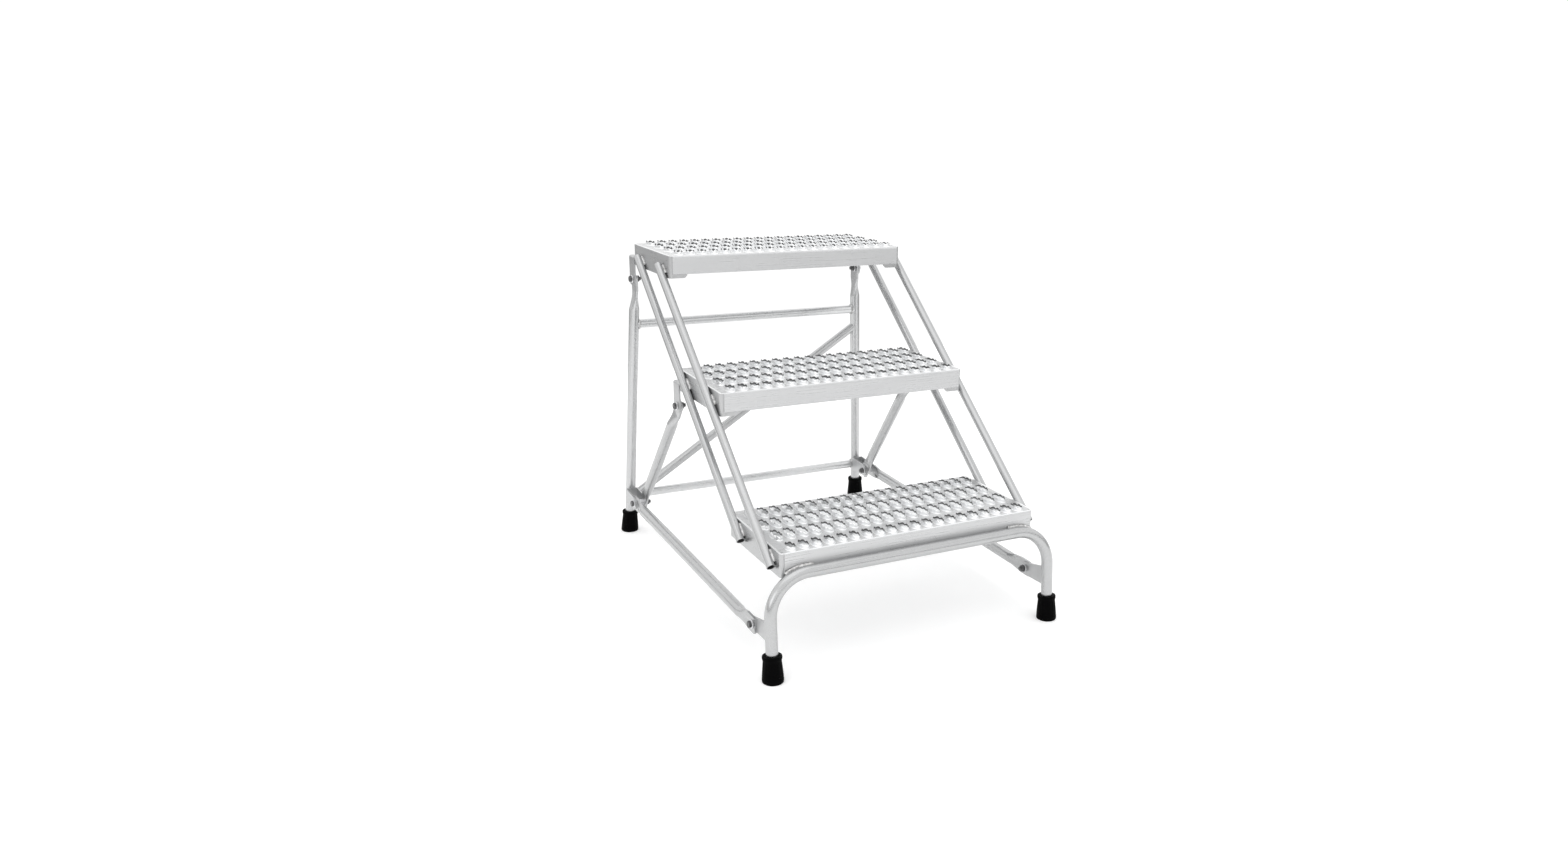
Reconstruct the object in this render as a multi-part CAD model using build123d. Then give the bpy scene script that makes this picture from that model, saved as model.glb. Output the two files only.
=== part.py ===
"""Three-step aluminium step stand used as a mounting block for riders.

Units mm, +Z up, floor at Z = 0.  X runs across the steps, the rider climbs from the
front (-Y) to the back (+Y).  One STEP file is written for each sub-part.
"""
import math
import os

from build123d import *

# ---------------------------------------------------------------- driving dimensions
RISE = 254.0            # step to step height, 10 in
RUN = 311.0             # step to step distance front edge to front edge
WIDTH = 612.0           # over the outer faces of the end plates
DEPTH = 273.0           # tread depth, front face to rear face
Y_CENTRE = 437.1        # middle of the overall depth, measured from the bottom tread front

SHEET = 3.2             # grating sheet thickness
SKIRT_H = 43.0          # height of the front and rear skirts of a tread
SKIRT_RETURN = 14.0     # inward lip along the bottom of a skirt
CELL_X, CELL_Y = 29.0, 68.0          # grating pattern pitch across and along the depth
ROW_Y = 24.0                         # first row of openings from the front edge
ROWS, COLS = 4, 20                   # rows of openings, openings in each row
CELL_A, CELL_B = 9.6, 23.0           # half width and half length of one opening
CELL_SIDE = 5.0                      # half length of the flat at the side of an opening
CELL_FRONT_B = 17.0                  # half length of the shorter openings in the first row
RIM_T, RIM_H = 2.2, 9.0              # raised rim round each opening

PLATE_T = 4.0           # end plate sheet
PLATE_H = 52.0          # end plate height
PLATE_BEND = 8.0        # outer radius of the end plate bends
PLATE_RETURN = 44.0     # width of the inward returns
RETURN_CHAMFER = 7.0

RAIL_OD, RAIL_WALL = 19.05, 1.7      # inclined rails, 3/4 in tube
RAIL_SLOPE = 1.2535                  # run over rise of the rails
RAIL_FRONT_Y0, RAIL_REAR_Y0 = -247.0, -89.0   # where the rail lines meet the floor
RAIL_Z_LOW, RAIL_Z_HIGH = 219.0, 736.0

TUBE_OD, TUBE_WALL = 25.4, 2.0       # legs, braces, ties and front hoop, 1 in tube
BAR_OD, BAR_WALL = 22.2, 1.8         # rear crossbars and diagonal, 7/8 in tube

HOOP_HALF = 338.0       # hoop leg centre from the middle
HOOP_FOOT_Y = -32.0
HOOP_BAR_Y = -12.8
HOOP_BAR_Z = 214.0
HOOP_BEND_R = 85.0

LEG_TOP = (312.0, 875.0, 677.0)      # bolt centre at the top of a rear leg (right side)
LEG_FOOT = (344.0, 906.0, 0.0)
BRACE_TOP = (312.0, 564.0, 423.0)
FOOT_BOLT = (820.0, 104.0)           # Y and Z of the bolt low on the rear leg
TIE_FRONT = (59.0, 88.0)             # Y and Z of the bolt at the front of a side tie
UPPER_BAR_Z, LOWER_BAR_Z = 562.0, 101.0
DIAG_RIGHT = (320.0, 516.6)          # X and Z of the two ends of the diagonal
DIAG_LEFT = (-337.0, 92.0)

FOOT_EAR_T, FOOT_EAR_H = 3.0, 38.0   # clevis on the front of a rear leg, near its foot
FOOT_NOSE_R = 15.0                   # rounded end of the clevis ears
FOOT_WEB_T, FOOT_WEB_Y = 5.0, 11.6   # clevis web, and its back face ahead of the leg centre
FLAT_T, FLAT_W = 5.0, 36.0           # pressed flat tube ends
FLAT_CORNER_R, FLAT_EDGE_R = 6.0, 1.6          # rounded outline and rolled edges of a flat
FLAT_SWELL, FLAT_END_R = 42.0, 16.0  # length back to the round tube, flat beyond the bolt
LEG_ROUND_Z = 600.0     # a rear leg is round below this height
EAR_T, EAR_W = 4.0, 38.0             # bracket ears
EAR_X = 314.5                        # inner face of a bracket ear
EAR_TOP, EAR_BOTTOM, EAR_BOLT = 27.0, 100.0, 85.0   # all below the tread surface
EAR_BACK = 20.0                      # ear centre ahead of the rear face of the plate
EAR_BEND_R, EAR_INNER_R, EAR_CORNER_R = 5.0, 1.2, 8.0

BOLT_D, HOLE_D = 9.5, 10.0           # 3/8 in hardware
HEX_AF, HEAD_H, NUT_H = 14.3, 6.2, 8.4
HEX_TRIM_R = 8.0        # hexagon corners are turned down to this radius
FLANGE_D, FLANGE_T = 20.0, 1.8
THREAD_OVER = 4.0       # thread standing past the nut

FOOT_H, FOOT_D, FOOT_TOP_D = 56.0, 45.0, 38.5       # rubber feet
FOOT_LIP_D, FOOT_LIP_H = 41.0, 5.0
FOOT_SOLE = 9.0
FOOT_WASHER_D, FOOT_WASHER_T = 24.0, 1.6

SPACER_R = 8.0          # spacer between the brace and tie ends in the foot bracket

RAIL_BEAD_HALF = 11.0   # half length of a bead beside a rail
RAIL_BEAD_DROP = 27.0   # its middle, below the tread surface
BAR_BEAD = 3.6          # collar of weld round a crossbar end
HOOP_BEAD_X, HOOP_BEAD_HALF = 229.0, 22.0    # fillets near the hoop's bends
REACH = 400.0           # half length of a cutter that passes through the whole width

TAB_X = HOOP_HALF + 2.5              # inner face of the tie flat, outer face of the tab
TAB_T, TAB_R = 5.0, 14.0             # tab thickness, rounded end
TAB_FRONT_Z = (76.0, 122.0)          # height of the tab where it meets the hoop leg

os.makedirs("parts", exist_ok=True)


# ---------------------------------------------------------------- helpers
def out(name, shape):
    """Centre the depth on the origin and write one sub-part."""
    shape = Pos(0, -Y_CENTRE, 0) * shape
    solids = shape.solids()
    if len(solids) == 1:
        shape = solids[0]
    else:
        shape = Compound(children=list(solids))
    shape.label = name
    export_step(shape, f"parts/{name}.step")
    print(name, len(solids), round(sum(s.volume for s in solids)))


def mirror_x(shape):
    return shape.mirror(Plane.YZ)


def rod(p, q, radius):
    """Solid cylinder from p to q."""
    p, q = Vector(*p), Vector(*q)
    d = q - p
    return Solid.make_cylinder(radius, d.length, Plane(origin=p, z_dir=d))


def tube(p, q, od, wall):
    return rod(p, q, od / 2) - rod(p, q, od / 2 - wall)


def slab(plane, sketch, thickness):
    """Extrude a sketch drawn on a plane along that plane's normal."""
    return extrude(plane * sketch, thickness, dir=plane.z_dir)


def one(shape):
    """Largest solid of a cut, dropping slivers."""
    return sorted(shape.solids(), key=lambda s: s.volume)[-1]


def leg_point(z, side=1):
    t = (LEG_TOP[2] - z) / (LEG_TOP[2] - LEG_FOOT[2])
    return (side * (LEG_TOP[0] + t * (LEG_FOOT[0] - LEG_TOP[0])),
            LEG_TOP[1] + t * (LEG_FOOT[1] - LEG_TOP[1]), z)


def paddle(bolt, direction, inner, end_r):
    """Flat tube end parallel to the YZ plane, rounded beyond the bolt.

    Returns the flat solid and the rectangle where the tube starts to swell."""
    b = Vector(*bolt)
    d = Vector(0, direction[1], direction[2]).normalized()
    side = Vector(1, 0, 0).cross(d)
    pl = Plane(origin=b, x_dir=d, z_dir=Vector(1, 0, 0))
    long = inner + end_r
    middle = (inner - end_r) / 2
    rounded = Pos(middle + FLAT_CORNER_R / 2, 0) * RectangleRounded(
        long + FLAT_CORNER_R, FLAT_W, FLAT_CORNER_R)
    outline = rounded & (Pos(middle, 0) * Rectangle(long, FLAT_W))
    body = extrude(pl * outline, FLAT_T / 2, both=True)
    body -= rod(b - Vector(20, 0, 0), b + Vector(20, 0, 0), HOLE_D / 2)
    rect_plane = Plane(origin=b + d * inner, x_dir=side, z_dir=d)
    return body, rect_plane


def flat_ended(p, q, inner):
    """Round tube from p to q with both ends pressed flat round a bolt."""
    p, q = Vector(*p), Vector(*q)
    d = (q - p).normalized()
    pieces, round_ends = [], []
    for end, way in ((p, d), (q, d * -1)):
        pad, rect_plane = paddle(tuple(end), tuple(way), inner, FLAT_END_R)
        centre = end + way * (inner + FLAT_SWELL)
        circle = Plane(origin=centre, x_dir=rect_plane.x_dir, z_dir=way) * Circle(TUBE_OD / 2)
        rect = rect_plane * RectangleRounded(FLAT_W, FLAT_T, FLAT_EDGE_R)
        pieces += [pad, loft([rect, circle])]
        round_ends.append(tuple(centre))
    body = tube(*round_ends, TUBE_OD, TUBE_WALL)
    for piece in pieces:
        body = body + piece
    return one(body)


# ---------------------------------------------------------------- treads
def cell_wire(cx, cy, a, b, side, z):
    pts = [(a, -side), (a, side), (0, b), (-a, side), (-a, -side), (0, -b)]
    return Wire.make_polygon([Vector(cx + x, cy + y, z) for x, y in pts], close=True)


def cells():
    """Centre and half length of every opening, tread front edge at Y = 0."""
    found = []
    for j in range(ROWS):
        b = CELL_FRONT_B if j == 0 else CELL_B
        for i in range(COLS):
            found.append(((i - (COLS - 1) / 2) * CELL_X, ROW_Y + j * CELL_Y, b))
    return found


def make_tread():
    """Grating sheet with rimmed openings.  The walking surface is at Z = 0."""
    hx, notch = WIDTH / 2 - PLATE_T, PLATE_BEND + SHEET
    ends = WIDTH / 2 - PLATE_BEND
    outline = [(-ends, 0), (ends, 0), (ends, notch), (hx, notch), (hx, DEPTH - notch),
               (ends, DEPTH - notch), (ends, DEPTH), (-ends, DEPTH), (-ends, DEPTH - notch),
               (-hx, DEPTH - notch), (-hx, notch), (-ends, notch)]
    grid = cells()
    outer = Wire.make_polygon([Vector(x, y, -SHEET) for x, y in outline], close=True)
    holes = [cell_wire(x, y, CELL_A, b, CELL_SIDE, -SHEET) for x, y, b in grid]
    sheet = Solid.extrude(Face(outer, holes), Vector(0, 0, SHEET))
    rims = []
    for x, y, b in grid:
        ring = Face(cell_wire(x, y, CELL_A + RIM_T, b + RIM_T * 1.45, CELL_SIDE + 0.4, 0),
                    [cell_wire(x, y, CELL_A, b, CELL_SIDE, 0)])
        rims.append(Solid.extrude(ring, Vector(0, 0, RIM_H)))
    return sheet.fuse(*rims)


def make_skirts():
    """Front and rear skirts below the grating sheet, each with an inward lip."""
    length = 2 * (WIDTH / 2 - PLATE_BEND)
    lip = 2 * (WIDTH / 2 - PLATE_RETURN - 4)
    skirts = []
    for y0, inward in ((0.0, 1), (DEPTH, -1)):
        web = Pos(0, y0 + inward * SHEET / 2, -(SKIRT_H + SHEET) / 2) * Box(
            length, SHEET, SKIRT_H - SHEET)
        foot = Pos(0, y0 + inward * SKIRT_RETURN / 2, -SKIRT_H + SHEET / 2) * Box(
            lip, SKIRT_RETURN, SHEET)
        skirts.append((web + foot).solids()[0])
    return Compound(children=skirts)


# ---------------------------------------------------------------- end plates
def make_end_plate():
    """Right-hand bent end plate, tread surface at Z = 0, front edge at Y = 0."""
    ox, r, t = WIDTH / 2, PLATE_BEND, PLATE_T
    y0, y1 = SHEET, DEPTH - SHEET
    xr = ox - PLATE_RETURN
    with BuildSketch() as sk:
        with BuildLine():
            Polyline((xr, y0), (ox - r, y0))
            RadiusArc((ox - r, y0), (ox, y0 + r), -r)
            Line((ox, y0 + r), (ox, y1 - r))
            RadiusArc((ox, y1 - r), (ox - r, y1), -r)
            Polyline((ox - r, y1), (xr, y1), (xr, y1 - t), (ox - r, y1 - t))
            RadiusArc((ox - r, y1 - t), (ox - t, y1 - r), r - t)
            Line((ox - t, y1 - r), (ox - t, y0 + r))
            RadiusArc((ox - t, y0 + r), (ox - r, y0 + t), r - t)
            Polyline((ox - r, y0 + t), (xr, y0 + t), (xr, y0))
        make_face()
    body = Pos(0, 0, -PLATE_H) * extrude(sk.sketch, PLATE_H)
    # the returns tuck under the tread sheet and end in a sloped corner
    under = Pos(ox - r - 50, DEPTH / 2, 0) * Box(100, DEPTH, 2 * SHEET)
    body -= under
    wedge = Polygon((xr - 1, -PLATE_H - 1), (xr + RETURN_CHAMFER, -PLATE_H - 1),
                    (xr - 1, -PLATE_H + RETURN_CHAMFER), align=None)
    body -= slab(Plane.XZ.offset(-DEPTH - 5), wedge, DEPTH + 10)
    return one(body)


# ---------------------------------------------------------------- inclined rails
def rail_point(y0, z, side=1):
    return (side * (WIDTH / 2 + RAIL_OD / 2), y0 + RAIL_SLOPE * z, z)


def make_rail(y0):
    return tube(rail_point(y0, RAIL_Z_LOW), rail_point(y0, RAIL_Z_HIGH), RAIL_OD, RAIL_WALL)


def make_rail_welds():
    """Beads above and below each rail where it crosses the three end plates (right side)."""
    r = RAIL_OD / 2
    d = Vector(0, RAIL_SLOPE, 1).normalized()
    n = Vector(0, -1, RAIL_SLOPE).normalized()
    lowest, highest = RAIL_Z_LOW + 14.0, RAIL_Z_HIGH - 12.0
    beads = []
    for y0 in (RAIL_FRONT_Y0, RAIL_REAR_Y0):
        for step in (1, 2, 3):
            zc = min(max(RISE * step - RAIL_BEAD_DROP, lowest), highest)
            c = Vector(*rail_point(y0, zc))
            base = Vector(WIDTH / 2, c.Y, c.Z)
            axis = rod(tuple(c - d * 40), tuple(c + d * 40), r)
            for s in (1, -1):
                pl = Plane(origin=base - d * RAIL_BEAD_HALF, x_dir=n * s, z_dir=d)
                # section: u runs along the plate, v away from it
                v = pl.from_local_coords(Vector(0, 1, 0)) - pl.origin
                away = 1 if v.X > 0 else -1
                section = Polygon((4.2, 0), (r + 1.5, 0), (r - 0.6, away * 4.6),
                                  (5.6, away * 4.6), align=None)
                beads.append(one(slab(pl, section, 2 * RAIL_BEAD_HALF) - axis))
    return Compound(children=beads)


# ---------------------------------------------------------------- front hoop
def hoop_tilt():
    return math.degrees(math.atan2(HOOP_BAR_Y - HOOP_FOOT_Y, HOOP_BAR_Z))


def hoop_place(shape):
    return Pos(0, HOOP_FOOT_Y, 0) * Rot(-hoop_tilt(), 0, 0) * shape


def make_hoop():
    h = math.hypot(HOOP_BAR_Z, HOOP_BAR_Y - HOOP_FOOT_Y)
    z0, x, r = FOOT_SOLE + FOOT_WASHER_T, HOOP_HALF, HOOP_BEND_R

    def path():
        with BuildLine(Plane.XZ) as ln:
            Line((-x, z0), (-x, h - r))
            RadiusArc((-x, h - r), (-x + r, h), r)
            Line((-x + r, h), (x - r, h))
            RadiusArc((x - r, h), (x, h - r), r)
            Line((x, h - r), (x, z0))
        return ln.wire()

    start = Plane(origin=(-x, 0, z0), z_dir=(0, 0, 1))
    solid = sweep(start * Circle(TUBE_OD / 2), path=path())
    bore = sweep(start * Circle(TUBE_OD / 2 - TUBE_WALL), path=path())
    return hoop_place(one(solid - bore))


def hoop_leg_axis(side=1):
    """Two points on the straight part of a hoop leg in the shared frame."""
    t = math.radians(hoop_tilt())
    lo = (side * HOOP_HALF, HOOP_FOOT_Y, 0.0)
    hi = (side * HOOP_HALF, HOOP_FOOT_Y + 125 * math.sin(t), 125 * math.cos(t))
    return lo, hi


def make_tie_tab():
    """Tapered tab welded behind the right hoop leg, drilled for the tie bolt."""
    y, z = TIE_FRONT
    lo, hi = hoop_leg_axis()
    front = HOOP_FOOT_Y + 4
    pl = Plane(origin=(TAB_X - TAB_T, 0, 0), x_dir=(0, 1, 0), z_dir=(1, 0, 0))
    low, high = TAB_FRONT_Z
    sk = Polygon((front, low), (y + 2, z - TAB_R), (y + 2, z + TAB_R), (front, high), align=None)
    sk = sk + Pos(y, z) * Circle(TAB_R)
    body = slab(pl, sk, TAB_T)
    body -= rod((TAB_X - 20, y, z), (TAB_X + 20, y, z), HOLE_D / 2)
    dy, dz = hi[1] - lo[1], hi[2] - lo[2]
    body -= rod(lo, (hi[0], lo[1] + 2 * dy, lo[2] + 2 * dz), TUBE_OD / 2)
    return sorted(body.solids(), key=lambda s: s.center().Y)[-1]


# ---------------------------------------------------------------- rear frame
def make_rear_leg():
    foot = leg_point(FOOT_SOLE + FOOT_WASHER_T)
    top = Vector(*LEG_TOP)
    pad, rect_plane = paddle(LEG_TOP, (0, 0, -1), 29.0, 10.0)
    rect = rect_plane * RectangleRounded(FLAT_W, FLAT_T, FLAT_EDGE_R)
    c = Vector(*leg_point(LEG_ROUND_Z))
    d = Vector(*LEG_FOOT) - top
    circle = Plane(origin=c, x_dir=rect_plane.x_dir, z_dir=d) * Circle(TUBE_OD / 2)
    body = tube(tuple(c), foot, TUBE_OD, TUBE_WALL) + pad + loft([rect, circle])
    return one(body)


def leg_rod(side):
    """Solid cylinder that fills the round part of a rear leg."""
    return rod(leg_point(5.0, side), leg_point(LEG_ROUND_Z, side), TUBE_OD / 2)


def bar_rod(z):
    """Solid cylinder along a crossbar, longer than the bar."""
    y = leg_point(z)[1]
    return rod((-REACH, y, z), (REACH, y, z), BAR_OD / 2)


def diagonal_ends():
    return ((DIAG_LEFT[0], leg_point(DIAG_LEFT[1])[1], DIAG_LEFT[1]),
            (DIAG_RIGHT[0], leg_point(DIAG_RIGHT[1])[1], DIAG_RIGHT[1]))


def clevis_block(side):
    """Space ahead of a rear leg that its foot bracket fills."""
    lx, ly, _ = leg_point(FOOT_BOLT[1])
    wide = TUBE_OD + 2 * FOOT_EAR_T
    return Pos(side * lx, ly - FOOT_WEB_Y - 50, FOOT_BOLT[1]) * Box(wide, 100, FOOT_EAR_H)


def make_crossbar(z):
    x, y, _ = leg_point(z)
    body = tube((-x, y, z), (x, y, z), BAR_OD, BAR_WALL)
    return one(body - leg_rod(1) - leg_rod(-1))


def make_diagonal():
    body = tube(*diagonal_ends(), BAR_OD, BAR_WALL)
    body = body - leg_rod(1) - leg_rod(-1) - clevis_block(-1)
    return one(body - bar_rod(UPPER_BAR_Z) - bar_rod(LOWER_BAR_Z))


def make_frame_welds():
    """Beads where the crossbars meet the rear legs, and beside each foot bracket's web."""
    beads = []
    diagonal = rod(*diagonal_ends(), BAR_OD / 2)
    outer_r, inner_r = BAR_OD / 2 + BAR_BEAD * 0.55, BAR_OD / 2
    for z in (UPPER_BAR_Z, LOWER_BAR_Z):
        for side in (1, -1):
            x, y, _ = leg_point(z, side)
            x -= side * (TUBE_OD / 2 + 0.5)
            collar = rod((x - BAR_BEAD, y, z), (x + BAR_BEAD, y, z), outer_r)
            collar -= rod((x - 2 * BAR_BEAD, y, z), (x + 2 * BAR_BEAD, y, z), inner_r)
            beads.append(one(collar - leg_rod(side) - clevis_block(side) - diagonal))
    lx, ly, _ = leg_point(FOOT_BOLT[1])
    z0 = FOOT_BOLT[1] - FOOT_EAR_H / 2
    back = ly - FOOT_WEB_Y
    for side in (1, -1):
        for s in (1, -1):
            tri = Polygon((s * 6.5, back), (s * 14.0, back), (s * 11.5, back + 5.0), align=None)
            bead = Pos(side * lx, 0, z0 + 3) * extrude(tri, FOOT_EAR_H - 6)
            beads.append(one(bead - leg_rod(side) - bar_rod(LOWER_BAR_Z) - diagonal))
    return Compound(children=beads)


# ---------------------------------------------------------------- brackets
def make_ear_bracket(step):
    """Bent ear welded to the outer face of an end plate near its rear edge (right side)."""
    top = RISE * step
    y = RUN * (step - 1) + DEPTH - EAR_BACK
    x0, x1 = WIDTH / 2, EAR_X + EAR_T
    z1, z0 = top - EAR_TOP, top - EAR_BOTTOM
    pl = Plane.XZ.offset(-(y + EAR_W / 2))      # rear face, the ear runs towards -Y
    sk = Polygon((x0, z1), (x1, z1), (x1, z0), (EAR_X, z0), (EAR_X, z1 - EAR_T),
                 (x0, z1 - EAR_T), align=None)
    body = slab(pl, sk, EAR_W)
    outer = [e for e in body.edges().filter_by(Axis.Y)
             if abs(e.center().X - x1) < 0.01 and abs(e.center().Z - z1) < 0.01]
    body = fillet(outer, EAR_BEND_R)
    inner = [e for e in body.edges().filter_by(Axis.Y)
             if abs(e.center().X - EAR_X) < 0.01 and abs(e.center().Z - z1 + EAR_T) < 0.01]
    body = fillet(inner, EAR_INNER_R)
    low = [e for e in body.edges().filter_by(Axis.X) if abs(e.center().Z - z0) < 0.01]
    body = fillet(low, EAR_CORNER_R)
    zb = top - EAR_BOLT
    body -= rod((x0, y, zb), (x1 + 10, y, zb), HOLE_D / 2)
    return one(body), (y, zb)


def make_foot_bracket():
    """Clevis on the front of the right rear leg, its ears carry the brace and the side tie."""
    yb, zb = FOOT_BOLT
    t, half = FOOT_EAR_T, FOOT_EAR_H / 2
    lx, ly, _ = leg_point(zb)
    r_in = TUBE_OD / 2
    back = ly - FOOT_WEB_Y
    # ear outline in the YZ plane: full height at the web, rounded nose round the bolt
    side_view = Plane(origin=(lx - r_in - t, 0, 0), x_dir=(0, 1, 0), z_dir=(1, 0, 0))
    outline = Polygon((back, zb - half), (back, zb + half), (yb, zb + FOOT_NOSE_R),
                      (yb, zb - FOOT_NOSE_R), align=None) + Pos(yb, zb) * Circle(FOOT_NOSE_R)
    body = slab(side_view, outline, 2 * (r_in + t))
    gap = Pos(lx, back - FOOT_WEB_T - 100, zb) * Box(2 * r_in, 200, 2 * FOOT_EAR_H)
    body -= gap
    body -= leg_rod(1)
    body -= rod((lx - 40, yb, zb), (lx + 40, yb, zb), HOLE_D / 2)
    return one(body), lx


# ---------------------------------------------------------------- feet and hardware
def make_foot(base, axis_top):
    """Flared rubber foot on a tube axis, sole cut level with the floor."""
    b, t = Vector(*base), Vector(*axis_top)
    d = (t - b).normalized()
    pl = Plane(origin=b, x_dir=Vector(1, 0, 0), z_dir=d)
    prof = [(0, -6), (FOOT_D / 2 - 0.8, -6), (FOOT_D / 2 - 0.8, 0), (FOOT_D / 2, 2.5),
            (FOOT_D / 2, 9), (FOOT_TOP_D / 2, FOOT_H - FOOT_LIP_H - 4),
            (FOOT_LIP_D / 2, FOOT_H - FOOT_LIP_H), (FOOT_LIP_D / 2, FOOT_H - 1.5),
            (FOOT_LIP_D / 2 - 1.5, FOOT_H), (TUBE_OD / 2, FOOT_H), (TUBE_OD / 2, FOOT_SOLE),
            (0, FOOT_SOLE)]
    face = Plane.XZ * Polygon(*prof, align=None)
    body = revolve(face, Axis.Z)
    body = pl * body
    floor = Pos(b.X, b.Y, -25) * Box(120, 120, 50)
    return one(body - floor)


def make_foot_washer(base, axis_top):
    b, t = Vector(*base), Vector(*axis_top)
    d = (t - b).normalized()
    p = b + d * FOOT_SOLE
    return rod(tuple(p), tuple(p + d * FOOT_WASHER_T), FOOT_WASHER_D / 2) - rod(
        tuple(p - d), tuple(p + d * 4), 4.5)


def hexagon(height):
    """Hexagonal prism with its corners turned down."""
    outline = RegularPolygon(HEX_AF / 2, 6, major_radius=False) & Circle(HEX_TRIM_R)
    return extrude(outline, height)


def make_bolt(x_head, x_nut, y, z):
    """Flange bolt along X, head at the outer side, nut bearing face at x_nut (right side)."""
    length = x_head - x_nut + NUT_H + THREAD_OVER
    shank = Solid.make_cylinder(BOLT_D / 2, length, Plane(origin=(0, 0, -length)))
    flange = Solid.make_cylinder(FLANGE_D / 2, FLANGE_T, Plane(origin=(0, 0, 0)))
    head = Pos(0, 0, FLANGE_T) * hexagon(HEAD_H)
    body = shank.fuse(flange, *head.solids())
    place = Plane(origin=(x_head, y, z), x_dir=(0, 1, 0), z_dir=(1, 0, 0))
    return one(place * body)


def make_nut(x_nut, y, z):
    """Flange nut on the inner side, bearing face at x_nut, pointing to the middle."""
    flange = Solid.make_cylinder(FLANGE_D / 2, FLANGE_T, Plane(origin=(0, 0, 0)))
    nut = Pos(0, 0, FLANGE_T) * hexagon(NUT_H - FLANGE_T)
    body = flange.fuse(*nut.solids())
    body = body - Solid.make_cylinder(BOLT_D / 2, 30, Plane(origin=(0, 0, -5)))
    place = Plane(origin=(x_nut, y, z), x_dir=(0, 1, 0), z_dir=(-1, 0, 0))
    return one(place * body)


def make_hoop_welds():
    """Fillets between the hoop bar and the front of the bottom tread, near the bends."""
    y, z = HOOP_BAR_Y, HOOP_BAR_Z
    bar = rod((-REACH, y, z), (REACH, y, z), TUBE_OD / 2)
    section = Polygon((0.0, z + 4.0), (0.0, z + 13.5), (-4.2, z + 12.5), (-8.5, z + 12.0),
                      (-8.0, z + 4.0), align=None)
    beads = []
    for side in (1, -1):
        start = side * HOOP_BEAD_X - HOOP_BEAD_HALF
        pl = Plane(origin=(start, 0, 0), x_dir=(0, 1, 0), z_dir=(1, 0, 0))
        beads.append(one(slab(pl, section, 2 * HOOP_BEAD_HALF) - bar))
    return Compound(children=beads)


# ---------------------------------------------------------------- build everything
tread = make_tread()
skirts = make_skirts()
plate = make_end_plate()
names = ("bottom", "middle", "top")
for k, name in enumerate(names):
    place = Pos(0, RUN * k, RISE * (k + 1))
    out(f"{name}_tread", place * tread)
    out(f"{name}_tread_skirts", place * skirts)
    out(f"{name}_end_plate_right", place * plate)
    out(f"{name}_end_plate_left", mirror_x(place * plate))

for tag, y0 in (("front", RAIL_FRONT_Y0), ("rear", RAIL_REAR_Y0)):
    rail = make_rail(y0)
    out(f"rail_{tag}_right", rail)
    out(f"rail_{tag}_left", mirror_x(rail))

welds = make_rail_welds()
out("rail_welds", Compound(children=list(welds.solids()) + list(mirror_x(welds).solids())))

out("front_leg_hoop", make_hoop())
out("hoop_welds", make_hoop_welds())
tab = make_tie_tab()
leg = make_rear_leg()
leg_bracket, leg_bolt_yz = make_ear_bracket(3)
brace_bracket, brace_bolt_yz = make_ear_bracket(2)
foot_bracket, leg_x = make_foot_bracket()

# brace inside, tie outside, between the two ears of the foot bracket
brace_x = leg_x - TUBE_OD / 2 + FLAT_T / 2
tie_x = leg_x + TUBE_OD / 2 - FLAT_T / 2
yb, zb = FOOT_BOLT
brace = flat_ended(BRACE_TOP, (brace_x, yb, zb), inner=29.0)
tie = flat_ended((tie_x, yb, zb), (TAB_X + FLAT_T / 2, *TIE_FRONT), inner=24.0)
spacer = rod((brace_x + FLAT_T / 2, yb, zb), (tie_x - FLAT_T / 2, yb, zb), SPACER_R) - rod(
    (brace_x - 20, yb, zb), (tie_x + 20, yb, zb), HOLE_D / 2)

hardware = {
    "leg_top": (EAR_X + EAR_T, LEG_TOP[0] - FLAT_T / 2, *leg_bolt_yz),
    "brace_top": (EAR_X + EAR_T, BRACE_TOP[0] - FLAT_T / 2, *brace_bolt_yz),
    "foot_bracket": (leg_x + TUBE_OD / 2 + FOOT_EAR_T, leg_x - TUBE_OD / 2 - FOOT_EAR_T, yb, zb),
    "tie_front": (TAB_X + FLAT_T, TAB_X - TAB_T, *TIE_FRONT),
}

sided = {
    "tie_tab": tab, "rear_leg": leg, "leg_bracket": leg_bracket,
    "brace_bracket": brace_bracket, "foot_bracket": foot_bracket, "middle_brace": brace,
    "side_tie": tie,
    "foot_front": make_foot(*hoop_leg_axis()),
    "foot_rear": make_foot(LEG_FOOT, leg_point(300)),
}
for key, (xh, xn, y, z) in hardware.items():
    sided[f"{key}_bolt"] = make_bolt(xh, xn, y, z)
    sided[f"{key}_nut"] = make_nut(xn, y, z)
for key, shape in sided.items():
    out(f"{key}_right", shape)
    out(f"{key}_left", mirror_x(shape))

out("bolt_spacers", Compound(children=[spacer.solids()[0], mirror_x(spacer).solids()[0]]))
out("upper_crossbar", make_crossbar(UPPER_BAR_Z))
out("lower_crossbar", make_crossbar(LOWER_BAR_Z))
out("rear_diagonal", make_diagonal())
out("frame_welds", make_frame_welds())

washers = [make_foot_washer(*hoop_leg_axis()), make_foot_washer(LEG_FOOT, leg_point(300))]
washers += [mirror_x(w) for w in washers]
out("foot_washers", Compound(children=[w.solids()[0] for w in washers]))
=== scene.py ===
"""Looks of the three-step aluminium mounting block: serrated grating treads, mill-finish
sheet and tube, weld beads, zinc hardware and ribbed rubber feet, on a plain white floor."""
import math

import bmesh
import bpy
import numpy as np
from mathutils import Matrix, Vector, geometry, noise


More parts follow.
